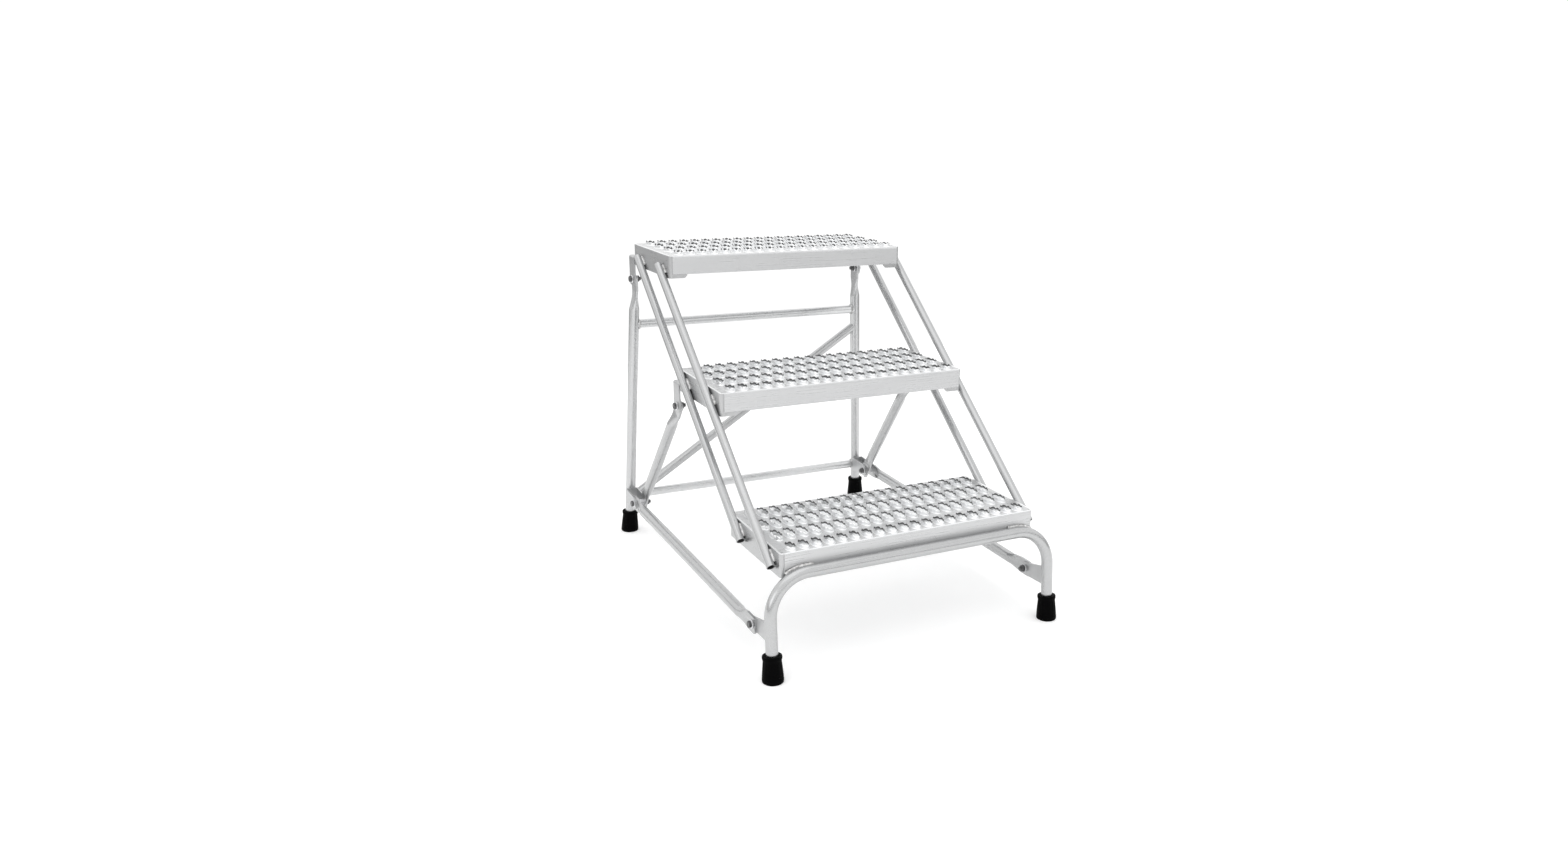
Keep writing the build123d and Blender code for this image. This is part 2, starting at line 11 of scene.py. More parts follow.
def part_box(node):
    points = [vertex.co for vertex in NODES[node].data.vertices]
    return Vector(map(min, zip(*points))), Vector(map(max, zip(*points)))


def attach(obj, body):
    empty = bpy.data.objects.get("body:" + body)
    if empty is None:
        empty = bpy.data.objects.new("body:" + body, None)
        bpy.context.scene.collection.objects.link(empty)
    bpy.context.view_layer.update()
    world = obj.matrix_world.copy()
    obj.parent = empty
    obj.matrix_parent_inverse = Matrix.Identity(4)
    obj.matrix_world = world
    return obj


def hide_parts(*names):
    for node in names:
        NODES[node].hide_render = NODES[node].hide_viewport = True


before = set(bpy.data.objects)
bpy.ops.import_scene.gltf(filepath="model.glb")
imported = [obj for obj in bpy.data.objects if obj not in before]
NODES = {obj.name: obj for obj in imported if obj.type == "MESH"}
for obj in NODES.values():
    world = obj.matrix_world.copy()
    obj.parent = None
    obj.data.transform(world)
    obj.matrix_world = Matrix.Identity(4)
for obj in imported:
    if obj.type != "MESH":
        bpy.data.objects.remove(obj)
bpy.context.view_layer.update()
MM = 0.001
Y_C = 437.1                 # bottom step's front edge to the middle of the whole depth

# ------------------------------------------------------------------ node material helpers


class Mat:
    """Small helper that builds one node material."""

    def __init__(self, name):
        self.m = bpy.data.materials.new(name)
        self.m.use_nodes = True
        self.nt = self.m.node_tree
        self.nt.nodes.clear()
        self.out = self.nt.nodes.new("ShaderNodeOutputMaterial")
        self.bsdf = self.nt.nodes.new("ShaderNodeBsdfPrincipled")
        self.nt.links.new(self.bsdf.outputs[0], self.out.inputs[0])
        self.coord = self.nt.nodes.new("ShaderNodeTexCoord").outputs["Object"]

    def set(self, **values):
        for key, value in values.items():
            self.bsdf.inputs[key.replace("_", " ")].default_value = value

    def link(self, a, b):
        self.nt.links.new(a, b)

    def mapping(self, scale=(1, 1, 1), rotation=None, location=(0, 0, 0)):
        n = self.nt.nodes.new("ShaderNodeMapping")
        n.inputs["Scale"].default_value = scale
        n.inputs["Location"].default_value = location
        if rotation is not None:
            first = self.nt.nodes.new("ShaderNodeMapping")
            first.inputs["Rotation"].default_value = rotation
            self.link(self.coord, first.inputs["Vector"])
            self.link(first.outputs[0], n.inputs["Vector"])
        else:
            self.link(self.coord, n.inputs["Vector"])
        return n.outputs[0]

    def noise(self, vector, scale, detail=3.0, rough=0.55):
        n = self.nt.nodes.new("ShaderNodeTexNoise")
        n.inputs["Scale"].default_value = scale
        n.inputs["Detail"].default_value = detail
        n.inputs["Roughness"].default_value = rough
        self.link(vector, n.inputs["Vector"])
        return n.outputs["Fac"]

    def voronoi(self, vector, scale):
        n = self.nt.nodes.new("ShaderNodeTexVoronoi")
        n.inputs["Scale"].default_value = scale
        self.link(vector, n.inputs["Vector"])
        return n.outputs["Distance"]

    def ramp(self, fac, stops):
        n = self.nt.nodes.new("ShaderNodeValToRGB")
        while len(n.color_ramp.elements) < len(stops):
            n.color_ramp.elements.new(0.5)
        for e, (pos, col) in zip(n.color_ramp.elements, stops):
            e.position = pos
            e.color = (*col, 1) if isinstance(col, tuple) else (col, col, col, 1)
        self.link(fac, n.inputs[0])
        return n.outputs[0]

    def range(self, fac, a, b, lo=0.0, hi=1.0):
        n = self.nt.nodes.new("ShaderNodeMapRange")
        n.inputs["From Min"].default_value = lo
        n.inputs["From Max"].default_value = hi
        n.inputs["To Min"].default_value = a
        n.inputs["To Max"].default_value = b
        self.link(fac, n.inputs["Value"])
        return n.outputs[0]

    def math(self, op, a, b):
        n = self.nt.nodes.new("ShaderNodeMath")
        n.operation = op
        for i, v in enumerate((a, b)):
            if isinstance(v, (int, float)):
                n.inputs[i].default_value = v
            else:
                self.link(v, n.inputs[i])
        return n.outputs[0]

    def mix(self, fac, a, b, blend="MIX"):
        n = self.nt.nodes.new("ShaderNodeMix")
        n.data_type = "RGBA"
        n.blend_type = blend
        for socket, v in ((n.inputs[0], fac), (n.inputs[6], a), (n.inputs[7], b)):
            if isinstance(v, (int, float)):
                socket.default_value = v
            elif isinstance(v, tuple):
                socket.default_value = (*v, 1)
            else:
                self.link(v, socket)
        return n.outputs[2]

    def bump(self, height, distance, strength=1.0, before=None):
        n = self.nt.nodes.new("ShaderNodeBump")
        n.inputs["Distance"].default_value = distance
        n.inputs["Strength"].default_value = strength
        self.link(height, n.inputs["Height"])
        if before is not None:
            self.link(before, n.inputs["Normal"])
        self.link(n.outputs[0], self.bsdf.inputs["Normal"])
        return n.outputs[0]


def turn_to_z(axis):
    """Euler angles that turn the given axis onto Z, for a texture that runs along it."""
    q = Vector(axis).normalized().rotation_difference(Vector((0, 0, 1)))
    return tuple(q.to_euler())


def mill_aluminium(name, axis, base=0.80, rough=0.34, streak=1.0, blotch=1.0, seed=0.0,
                   metallic=1.0, top_highlight_z=None):
    """Mill-finish aluminium: fine draw lines along an axis, soft clouding, small scuffs.

    Above the height the last argument gives, the metal is painted brighter: a painted highlight
    along the top edge."""
    m = Mat(name)
    rot = turn_to_z(axis)
    shift = (seed, seed * 0.7, seed * 1.3)
    lines = m.noise(m.mapping((1, 1, 0.012), rot, shift), 900, 4, 0.6)
    wide = m.noise(m.mapping((1, 1, 0.05), rot, shift), 120, 3, 0.5)
    cloud = m.noise(m.mapping(location=shift), 14, 4, 0.6)
    spots = m.noise(m.mapping(location=shift), 160, 3, 0.7)
    tone = m.mix(0.35, m.ramp(cloud, [(0.3, base * (1 - 0.10 * blotch)), (0.7, base)]),
                 m.ramp(wide, [(0.3, base * (1 - 0.10 * streak)), (0.7, base * 1.03)]))
    tone = m.mix(m.ramp(spots, [(0.62, 0.0), (0.72, 0.5 * blotch)]), tone,
                 (base * 0.86, base * 0.865, base * 0.875))
    # painted highlight: a thin bright band along the top edge, above the given height
    if top_highlight_z is not None:
        split = m.nt.nodes.new("ShaderNodeSeparateXYZ")
        m.link(m.coord, split.inputs[0])
        on_top_highlight = m.range(split.outputs["Z"], 0.0, 1.0, top_highlight_z - 0.0007, top_highlight_z)
        tone = m.mix(on_top_highlight, tone, (0.92, 0.92, 0.92))
    tint = m.mix(1.0, tone, (0.985, 0.993, 1.0), "MULTIPLY")
    m.link(tint, m.bsdf.inputs["Base Color"])
    r = m.math("ADD", m.range(lines, rough - 0.06, rough + 0.08, 0.3, 0.7),
               m.range(cloud, -0.05 * blotch, 0.07 * blotch, 0.3, 0.7))
    m.link(r, m.bsdf.inputs["Roughness"])
    b1 = m.bump(lines, 0.00004 * streak)
    m.bump(wide, 0.00012 * streak, before=b1)
    m.set(Metallic=metallic)
    return m.m


def weld_material():
    """As-welded aluminium: bright ripple crests, dull sooty valleys."""
    m = Mat("weld_bead")
    cloud = m.noise(m.mapping(), 180, 4, 0.6)
    fine = m.noise(m.mapping(), 1400, 3, 0.6)
    col = m.ramp(cloud, [(0.34, (0.30, 0.297, 0.293)), (0.50, (0.55, 0.547, 0.544)),
                         (0.68, (0.80, 0.80, 0.80))])
    m.link(col, m.bsdf.inputs["Base Color"])
    m.link(m.range(cloud, 0.50, 0.26, 0.3, 0.7), m.bsdf.inputs["Roughness"])
    m.bump(fine, 0.0001)
    m.set(Metallic=1.0)
    return m.m


def zinc_material(name, tone):
    """Zinc-plated steel with faint spangle and wear."""
    m = Mat(name)
    cells = m.voronoi(m.mapping(), 420)
    cloud = m.noise(m.mapping(), 260, 4, 0.6)
    low, high = tone * 0.66, tone
    col = m.mix(0.5, m.ramp(cells, [(0.0, (low, low, low)), (0.8, (high, high, high * 1.02))]),
                m.ramp(cloud, [(0.3, (low, low, low)), (0.7, (high, high, high * 1.03))]))
    m.link(col, m.bsdf.inputs["Base Color"])
    m.link(m.range(cloud, 0.24, 0.46, 0.3, 0.7), m.bsdf.inputs["Roughness"])
    m.bump(cloud, 0.00006)
    m.set(Metallic=1.0)
    return m.m


def rubber_material():
    """Moulded black rubber: fine grain, scuffed grey low down."""
    m = Mat("foot_rubber")
    grain = m.noise(m.mapping(), 1500, 4, 0.65)
    dust = m.noise(m.mapping((1, 1, 0.6)), 90, 4, 0.65)
    col = m.mix(m.ramp(dust, [(0.52, 0.0), (0.80, 0.45)]), (0.0007, 0.0007, 0.0008),
                (0.0040, 0.0039, 0.0038))
    m.link(col, m.bsdf.inputs["Base Color"])
    m.link(m.range(dust, 0.48, 0.72, 0.3, 0.7), m.bsdf.inputs["Roughness"])
    m.bump(grain, 0.00018)
    m.set(Specular_IOR_Level=0.035)
    return m.m


# ------------------------------------------------------------------ mesh helpers


def add_mesh(name, verts, faces, mats, smooth_angle=35.0, indices=None):
    me = bpy.data.meshes.new(name)
    me.from_pydata([tuple(v) for v in verts], [], [tuple(f) for f in faces])
    me.validate()
    for mt in mats:
        me.materials.append(mt)
    if indices is not None:
        me.polygons.foreach_set("material_index", indices)
    o = bpy.data.objects.new(name, me)
    bpy.context.scene.collection.objects.link(o)
    shade(o, smooth_angle)
    return o


def shade(o, angle=35.0):
    bm = bmesh.new()
    bm.from_mesh(o.data)
    limit = math.radians(angle)
    for f in bm.faces:
        f.smooth = True
    for e in bm.edges:
        if len(e.link_faces) == 2:
            e.smooth = e.calc_face_angle(0.0) < limit
        else:
            e.smooth = False
    bm.to_mesh(o.data)
    bm.free()


def placed(verts, matrix):
    return [matrix @ Vector(v) for v in verts]


def axis_matrix(origin, z_dir, x_hint=(1, 0, 0)):
    z = Vector(z_dir).normalized()
    x = Vector(x_hint)
    x = (x - z * x.dot(z)).normalized()
    y = z.cross(x)
    m = Matrix((x, y, z)).transposed().to_4x4()
    m.translation = Vector(origin)
    return m


# ------------------------------------------------------------------ treads

SHEET = 3.2
SKIRT_H = 43.0
WIDTH = 612.0
DEPTH = 273.0
CELL_X, CELL_Y = 29.0, 68.0
CELL_A, CELL_B, CELL_FRONT_B = 9.4, 22.5, 16.5      # half width, half lengths of openings
ROW_Y = 24.0
ROWS, COLS = 4, 20
RIM_H = 9.0
LENS_POWER = 1.8            # 2 is an ellipse, less is more pointed


def cell_list():
    """Centre and half length of every opening, from the tread's front edge."""
    found = []
    for j in range(ROWS):
        b = CELL_FRONT_B if j == 0 else CELL_B
        for i in range(COLS):
            found.append(((i - (COLS - 1) / 2) * CELL_X, ROW_Y + j * CELL_Y, b))
    return found


def cell_contour(b, n):
    """Rounded lens outline of one opening with outward normals, evenly spaced."""
    t = np.linspace(0, 2 * np.pi, 720, endpoint=False) + np.pi / 2
    p = LENS_POWER
    x = CELL_A * np.sign(np.cos(t)) * np.abs(np.cos(t)) ** (2 / p)
    y = b * np.sign(np.sin(t)) * np.abs(np.sin(t)) ** (2 / p)
    d = np.hypot(np.diff(np.r_[x, x[0]]), np.diff(np.r_[y, y[0]]))
    s = np.r_[0, np.cumsum(d)]
    want = np.arange(n) * s[-1] / n
    xs = np.interp(want, s, np.r_[x, x[0]])
    ys = np.interp(want, s, np.r_[y, y[0]])
    tx = np.roll(xs, -1) - np.roll(xs, 1)
    ty = np.roll(ys, -1) - np.roll(ys, 1)
    ln = np.hypot(tx, ty)
    return xs, ys, ty / ln, -tx / ln


# offset outward from the opening's wall, share of the rim height, height where the share is 0
RIM_PROFILE = [(2.35, 0.0, 0.0), (2.0, 0.03, 0.0), (1.6, 0.10, 0.0), (1.25, 0.24, 0.0),
               (1.0, 0.45, 0.0), (0.85, 0.72, 0.0), (0.75, 0.94, 0.0), (0.45, 1.0, 0.0),
               (0.1, 0.95, 0.0), (0.0, 0.80, 0.0), (0.0, 0.52, 0.0), (0.0, 0.0, -2.8),
               (0.3, 0.0, -3.2)]
RIM_CREST = (5, 6)          # strips of the profile at the crest, painted bright as a highlight
RIM_SHADED = (7, 9)           # strips just inside the crest, painted dark as shade
SHEET_M, CREST_HIGHLIGHT_M, PAINTED_SHADE_M, PAINTED_HIGHLIGHT_M = range(4)       # materials of the grating: plain sheet, crests with a painted highlight, painted shade inside the crests, and flares, lower walls and bends with a painted highlight


def section_strip(path, x0, x1, verts, faces, mi, closed=False, caps=False, bright=0):
    """Sweep a (y, z) path along X as one strip, whose first faces may carry a painted highlight.
    """
    base, n = len(verts), len(path)
    for x in (x0, x1):
        verts += [(x, y, z) for y, z in path]
    for i in range(n if closed else n - 1):
        j = (i + 1) % n
        faces.append((base + i, base + n + i, base + n + j, base + j))
        mi.append(PAINTED_HIGHLIGHT_M if i < bright else SHEET_M)
    if caps:
        faces.append(tuple(base + i for i in range(n)))
        faces.append(tuple(base + n + i for i in reversed(range(n))))
        mi += [SHEET_M, SHEET_M]


def arc_pts(cy, cz, r, a0, a1, n=6):
    return [(cy + r * math.cos(math.radians(a0 + (a1 - a0) * i / n)),
             cz + r * math.sin(math.radians(a0 + (a1 - a0) * i / n))) for i in range(n + 1)]


def tread_geometry():
    verts, faces, mi, top_holes, bottom_holes = [], [], [], [], []
    rng = np.random.default_rng(11)
    rows = len(RIM_PROFILE)
    for cx, cy, b in cell_list():
        n, per_tooth = (56, 7) if b > 20 else (49, 7)
        xs, ys, nx, ny = cell_contour(b, n)
        tooth = (np.arange(n) % per_tooth + 0.5) / per_tooth
        saw = np.clip(1.25 * np.sin(np.pi * tooth), 0.0, 1.0)
        h = RIM_H * (0.58 + 0.40 * saw) + rng.uniform(-0.2, 0.2, n)
        base = len(verts)
        for off, share, plain in RIM_PROFILE:
            for i in range(n):
                z = plain if share == 0.0 else share * min(h[i], RIM_H)
                verts.append((cx + xs[i] + nx[i] * off, cy + ys[i] + ny[i] * off, z))
        for r in range(rows - 1):
            for i in range(n):
                j = (i + 1) % n
                p, q = base + r * n + i, base + r * n + j
                faces.append((p, q, q + n, p + n))
                if RIM_SHADED[0] <= r <= RIM_SHADED[1]:
                    mi.append(PAINTED_SHADE_M)
                elif RIM_CREST[0] <= r <= RIM_CREST[1]:
                    mi.append(CREST_HIGHLIGHT_M)
                else:
                    mi.append(PAINTED_HIGHLIGHT_M)
        top_holes.append([base + i for i in range(n)])
        bottom_holes.append([base + (rows - 1) * n + i for i in range(n)])

    # half widths of sheet and skirts, outer and inner bend radii, depth of the corner notch
    hx, xe, ro, ri, nt = WIDTH / 2 - 4.0, WIDTH / 2 - 8.0, 4.8, 1.6, 11.2
    outline = [(-xe, ro), (xe, ro), (xe, nt), (hx, nt), (hx, DEPTH - nt), (xe, DEPTH - nt),
               (xe, DEPTH - ro), (-xe, DEPTH - ro), (-xe, DEPTH - nt), (-hx, DEPTH - nt),
               (-hx, nt), (-xe, nt)]
    rims = []
    for z, holes, up in ((0.0, top_holes, True), (-SHEET, bottom_holes, False)):
        index, pts, cons, owner = [], [], [], []
        loops = [[len(verts) + i for i in range(len(outline))]] + holes
        verts += [(x, y, z) for x, y in outline]
        rims.append(loops[0])
        for k, loop in enumerate(loops):
            s = len(pts)
            for v in loop:
                index.append(v)
                owner.append(k)
                pts.append(Vector(verts[v][:2]))
            cons += [(s + i, s + (i + 1) % len(loop)) for i in range(len(loop))]
        _, _, tris, orig, *_ = geometry.delaunay_2d_cdt(pts, cons, [], 1, 1e-6)
        back = [o[0] if o else -1 for o in orig]
        for f in tris:
            ids = [back[v] for v in f]
            if min(ids) < 0:
                continue
            own = {owner[v] for v in ids}
            if len(own) == 1 and 0 not in own:      # fills an opening
                continue
            a, b, c = (pts[v] for v in ids)
            turn = (b.x - a.x) * (c.y - a.y) - (b.y - a.y) * (c.x - a.x)
            if abs(turn) < 1e-9:
                continue
            if own == {0} and not (-xe <= (a.x + b.x + c.x) / 3 <= xe) \
                    and not nt <= (a.y + b.y + c.y) / 3 <= DEPTH - nt:
                continue
            tri = [index[v] for v in ids]
            faces.append(tuple(tri if (turn > 0) == up else tri[::-1]))
            mi.append(SHEET_M)
    top, bot = rims
    for i in range(len(outline)):
        j = (i + 1) % len(outline)
        if i in (0, 6):                           # the bends join here
            continue
        faces.append((top[i], bot[i], bot[j], top[j]))
        mi.append(SHEET_M)
    # bends and skirts, front and rear, then the lips along their lower edges; the first faces of
    # each bend carry a painted highlight
    outer = arc_pts(ro, -ro, ro, 90, 180) + [(0.0, -ro - 0.5), (0.0, -SKIRT_H + 1.3),
                                             (0.0, -SKIRT_H + 0.8), (0.8, -SKIRT_H)]
    inner = [(SHEET - 0.6, -SKIRT_H), (SHEET, -SKIRT_H + 0.8), (SHEET, -ro - 0.5)]
    inner += arc_pts(ro, -ro, ri, 180, 90)
    section = outer + inner
    lip = [(0.9, -SKIRT_H), (13.2, -SKIRT_H), (14.0, -SKIRT_H + 0.8),
           (14.0, -SKIRT_H + SHEET - 0.8), (13.2, -SKIRT_H + SHEET), (SHEET, -SKIRT_H + SHEET)]
    for flip in (False, True):
        def side(path):
            return [(DEPTH - y, z) for y, z in path] if flip else path
        first = len(faces)
        section_strip(side(section), -xe, xe, verts, faces, mi, caps=True, bright=2)
        section_strip(side(lip), -258.0, 258.0, verts, faces, mi, closed=True, caps=True)
        if flip:
            faces[first:] = [f[::-1] for f in faces[first:]]
    return verts, faces, mi


def build_treads():
    verts, faces, mi = tread_geometry()
    verts = np.array(verts, float)
    sheet = mill_aluminium("tread_sheet", (1, 0, 0), 0.60, 0.30, 0.4, 0.6, 1.7, 0.55)
    # the crest material is painted bright, as a painted highlight
    crest = mill_aluminium("tread_crests_painted_highlight", (0, 1, 0), 0.95, 0.26, 0.6, 0.8, 4.1)
    # painted shade: the dark strips just inside the crests
    painted_shade = mill_aluminium("tread_painted_shade", (0, 0, 1), 0.20, 0.46, 1.4, 1.2, 5.3)
    # painted highlight: the bright flares, lower walls and skirt bends
    painted_highlight = mill_aluminium("tread_painted_highlight", (1, 0, 0), 0.92, 0.30, 0.8, 0.8, 2.2)
    for name in ("bottom_tread", "middle_tread", "top_tread"):
        lo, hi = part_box(name)
        y0, z0 = lo.y / MM, hi.z / MM - RIM_H
        v = (verts + [0, y0, z0]) * MM
        o = add_mesh(name + "_grating", v, faces, [sheet, crest, painted_shade, painted_highlight], 48.0, mi)
        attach(o, "root")
        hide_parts(name, name + "_skirts")


# ------------------------------------------------------------------ CAD nodes that stay


def node_axis(name):
    """Longest direction of a node, from its vertices."""
    co = np.array([v.co for v in NODES[name].data.vertices])
    co = co - co.mean(0)
    return tuple(np.linalg.svd(co, full_matrices=False)[2][0])


def dress(name, material):
    o = NODES[name]
    o.data.materials.clear()
    o.data.materials.append(material)
    for p in o.data.polygons:
        p.material_index = 0


def dress_nodes():
    """Aluminium on every CAD node that stays, its grain along the node."""
    for n, name in enumerate(sorted(NODES), 1):
        if "end_plate" in name:
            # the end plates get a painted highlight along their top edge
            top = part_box(name)[1].z - 0.0008
            dress(name, mill_aluminium("mat_" + name, (0, 1, 0), 0.52, 0.32, 1.0, 1.2, n * 0.37,
                                       0.9, top))
        elif name.startswith(("rail_front", "rail_rear", "rear_leg", "middle_brace", "side_tie",
                              "upper_cross", "lower_cross", "rear_diag")):
            # painted light: the crossbars, and a little the rear legs, get a lighter base than
            # the other tubes of the same aluminium, so they look more brightly lit
            base = 0.50
            if "cross" in name:
                base = 0.68
            elif "rear_leg" in name:
                base = 0.57
            dress(name, mill_aluminium("mat_" + name, node_axis(name), base, 0.26, 1.2, 0.9,
                                       n * 0.37))
        elif name == "front_leg_hoop":
            dress(name, mill_aluminium("mat_" + name, (1, 0, 0), 0.50, 0.24, 0.5, 0.9, 2.9))
        elif "bracket_left" in name or "bracket_right" in name or "tie_tab" in name:
            dress(name, mill_aluminium("mat_" + name, (0, 0, 1), 0.54, 0.38, 1.0, 1.3, n * 0.37))


# ------------------------------------------------------------------ hardware


HEX_AF = 14.3               # across flats of the heads and nuts
HEAD_H = 8.0                # bolt head with its flange
RING_N = 48                 # points round each ring of a head or nut
FLANGE_RINGS = 4            # first rings, which make the flange
THREAD_R, THREAD_PITCH, THREAD_DEPTH, THREAD_N = 4.75, 1.6, 0.55, 24
HEAD_TURN = {"leg_top": 12, "brace_top": 37, "foot_bracket": 5, "tie_front": 21}


def hex_ring(z, cut):
    """Hexagon outline with its corners trimmed to a circle of radius cut."""
    pts = []
    for k in range(RING_N):
        a = 2 * math.pi * k / RING_N
        edge = (HEX_AF / 2) / math.cos((a + math.pi / 6) % (math.pi / 3) - math.pi / 6)
        q = min(edge, cut)
        pts.append((q * math.cos(a), q * math.sin(a), z))
    return pts


def rings_to_mesh(rings, caps=(True, True)):
    n = len(rings[0])
    verts = [p for ring in rings for p in ring]
    faces = []
    for i in range(len(rings) - 1):
        for j in range(n):
            k = (j + 1) % n
            faces.append((i * n + j, i * n + k, (i + 1) * n + k, (i + 1) * n + j))
    if caps[0]:
        faces.append(tuple(reversed(range(n))))
    if caps[1]:
        faces.append(tuple(range((len(rings) - 1) * n, len(rings) * n)))
    return verts, faces


def circle_ring(r, z):
    return [(r * math.cos(2 * math.pi * k / RING_N), r * math.sin(2 * math.pi * k / RING_N), z)
            for k in range(RING_N)]


def thread_mesh(r, z0, z1):
    """Helical thread as a displaced tube."""
    n = THREAD_N
    verts, faces = [], []
    rows = int((z1 - z0) / (THREAD_PITCH / 4)) + 1
    for i in range(rows):
        z = z0 + (z1 - z0) * i / (rows - 1)
        for k in range(n):
            a = 2 * math.pi * k / n
            ph = (z / THREAD_PITCH - k / n) % 1.0
            d = THREAD_DEPTH * abs(2 * ph - 1)
            end = min(1.0, (z - z0) / 0.8 + 0.3, (z1 - z) / 0.8 + 0.3)
            q = (r - THREAD_DEPTH + d) * (0.9 + 0.1 * end)
            verts.append((q * math.cos(a), q * math.sin(a), z))
    for i in range(rows - 1):
        for k in range(n):
            j = (k + 1) % n
            faces.append((i * n + k, i * n + j, (i + 1) * n + j, (i + 1) * n + k))
    faces.append(tuple(reversed(range(n))))
    faces.append(tuple(range((rows - 1) * n, rows * n)))
    return verts, faces


def build_hardware():
    zinc = zinc_material("zinc_flange", 0.85)
    dark = zinc_material("zinc_hex", 0.16)
    for key in ("leg_top", "brace_top", "foot_bracket", "tie_front"):
        for side, s in (("right", 1), ("left", -1)):
            lo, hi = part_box(f"{key}_bolt_{side}")
            c = (lo + hi) / 2 / MM
            outer = (hi.x if s > 0 else lo.x) / MM
            inner = (lo.x if s > 0 else hi.x) / MM
            face = abs(outer) - HEAD_H
            mtx = axis_matrix((s * face, c.y, c.z), (s, 0, 0), (0, 1, 0))
            rings = [circle_ring(9.2, 0.0), circle_ring(10.0, 0.5), circle_ring(9.9, 1.2),
                     circle_ring(8.8, 1.9), hex_ring(2.3, 7.9),
                     hex_ring(6.6, 7.9), hex_ring(7.3, 7.5),
                     hex_ring(7.9, 6.6), circle_ring(5.6, 8.0),
                     circle_ring(4.9, 7.6), circle_ring(0.4, 7.55)]
            v, f = rings_to_mesh(rings)
            length = abs(outer) - abs(inner) - HEAD_H
            tv, tf = thread_mesh(THREAD_R, -length, 0.0)
            allv = v + tv
            allf = f + [tuple(i + len(v) for i in q) for q in tf]
            tone = [0 if min(q) < FLANGE_RINGS * RING_N else 1 for q in f] + [1] * len(tf)
            turn = Matrix.Rotation(math.radians(HEAD_TURN[key] + 9 * s), 4, "Z")
            allv = [p * MM for p in placed(allv, mtx @ turn)]
            o = add_mesh(f"{key}_bolt_{side}_detail", allv, allf, [zinc, dark], 32, tone)
            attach(o, "root")
            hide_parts(f"{key}_bolt_{side}")
            lo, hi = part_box(f"{key}_nut_{side}")
            bear = (hi.x if s > 0 else lo.x) / MM
            c = (lo + hi) / 2 / MM
            mtx = axis_matrix((bear, c.y, c.z), (-s, 0, 0), (0, 1, 0))
            rings = [circle_ring(5.0, 0.0), circle_ring(9.2, 0.0), circle_ring(10.0, 0.5),
                     circle_ring(9.9, 1.2), circle_ring(8.8, 1.9), hex_ring(2.3, 7.9),
                     hex_ring(7.3, 7.9), hex_ring(7.9, 7.3),
                     hex_ring(8.35, 6.4),
                     circle_ring(5.4, 8.4), circle_ring(4.95, 7.9), circle_ring(4.95, 0.0)]
            v, f = rings_to_mesh(rings, (False, False))
            last = (len(rings) - 1) * RING_N
            f += [(last + j, last + (j + 1) % RING_N, (j + 1) % RING_N, j)
                  for j in range(RING_N)]
            v = [p * MM for p in placed(v, mtx @ turn)]
            tone = [0 if min(q) < FLANGE_RINGS * RING_N else 1 for q in f]
            o = add_mesh(f"{key}_nut_{side}_detail", v, f, [zinc, dark], 32, tone)
            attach(o, "root")
            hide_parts(f"{key}_nut_{side}")
    for name in ("bolt_spacers", "foot_washers"):
        dress(name, zinc)


# ------------------------------------------------------------------ rubber feet


LEG_Z, LEG_X, LEG_Y = 677.0, 312.0, 875.0           # top of a rear leg's axis
LEG_OUT, LEG_BACK = 32.0, 31.0                      # its spread from there to the floor
HOOP_HALF, HOOP_R = 338.0, 85.0
HOOP_FOOT_Y, HOOP_LEAN = -32.0, math.tan(math.radians(5.137))
FOOT_STEPS, RIB_CUT = 72, 0.75
# radius, height, 1 where the wall is ribbed
FOOT_PROFILE = [(19.0, -5.0, 0), (20.6, -1.5, 0), (21.8, 0.4, 0), (22.35, 2.6, 0),
                (22.4, 5.5, 0), (22.3, 8.6, 0), (21.5, 9.6, 0), (21.4, 10.8, 0),
                (22.0, 11.8, 0), (21.9, 15.0, 0), (21.1, 16.0, 0), (21.0, 17.2, 0),
                (21.6, 18.2, 0), (20.9, 26.0, 1), (20.1, 34.0, 1), (19.5, 41.0, 1),
                (19.2, 44.5, 0), (19.3, 46.5, 0), (20.2, 48.6, 0), (20.5, 50.2, 0),
                (20.5, 54.0, 0), (20.1, 55.3, 0), (19.2, 56.0, 0), (14.0, 56.0, 0),
                (13.0, 55.4, 0), (12.75, 54.0, 0), (12.75, 30.0, 0)]


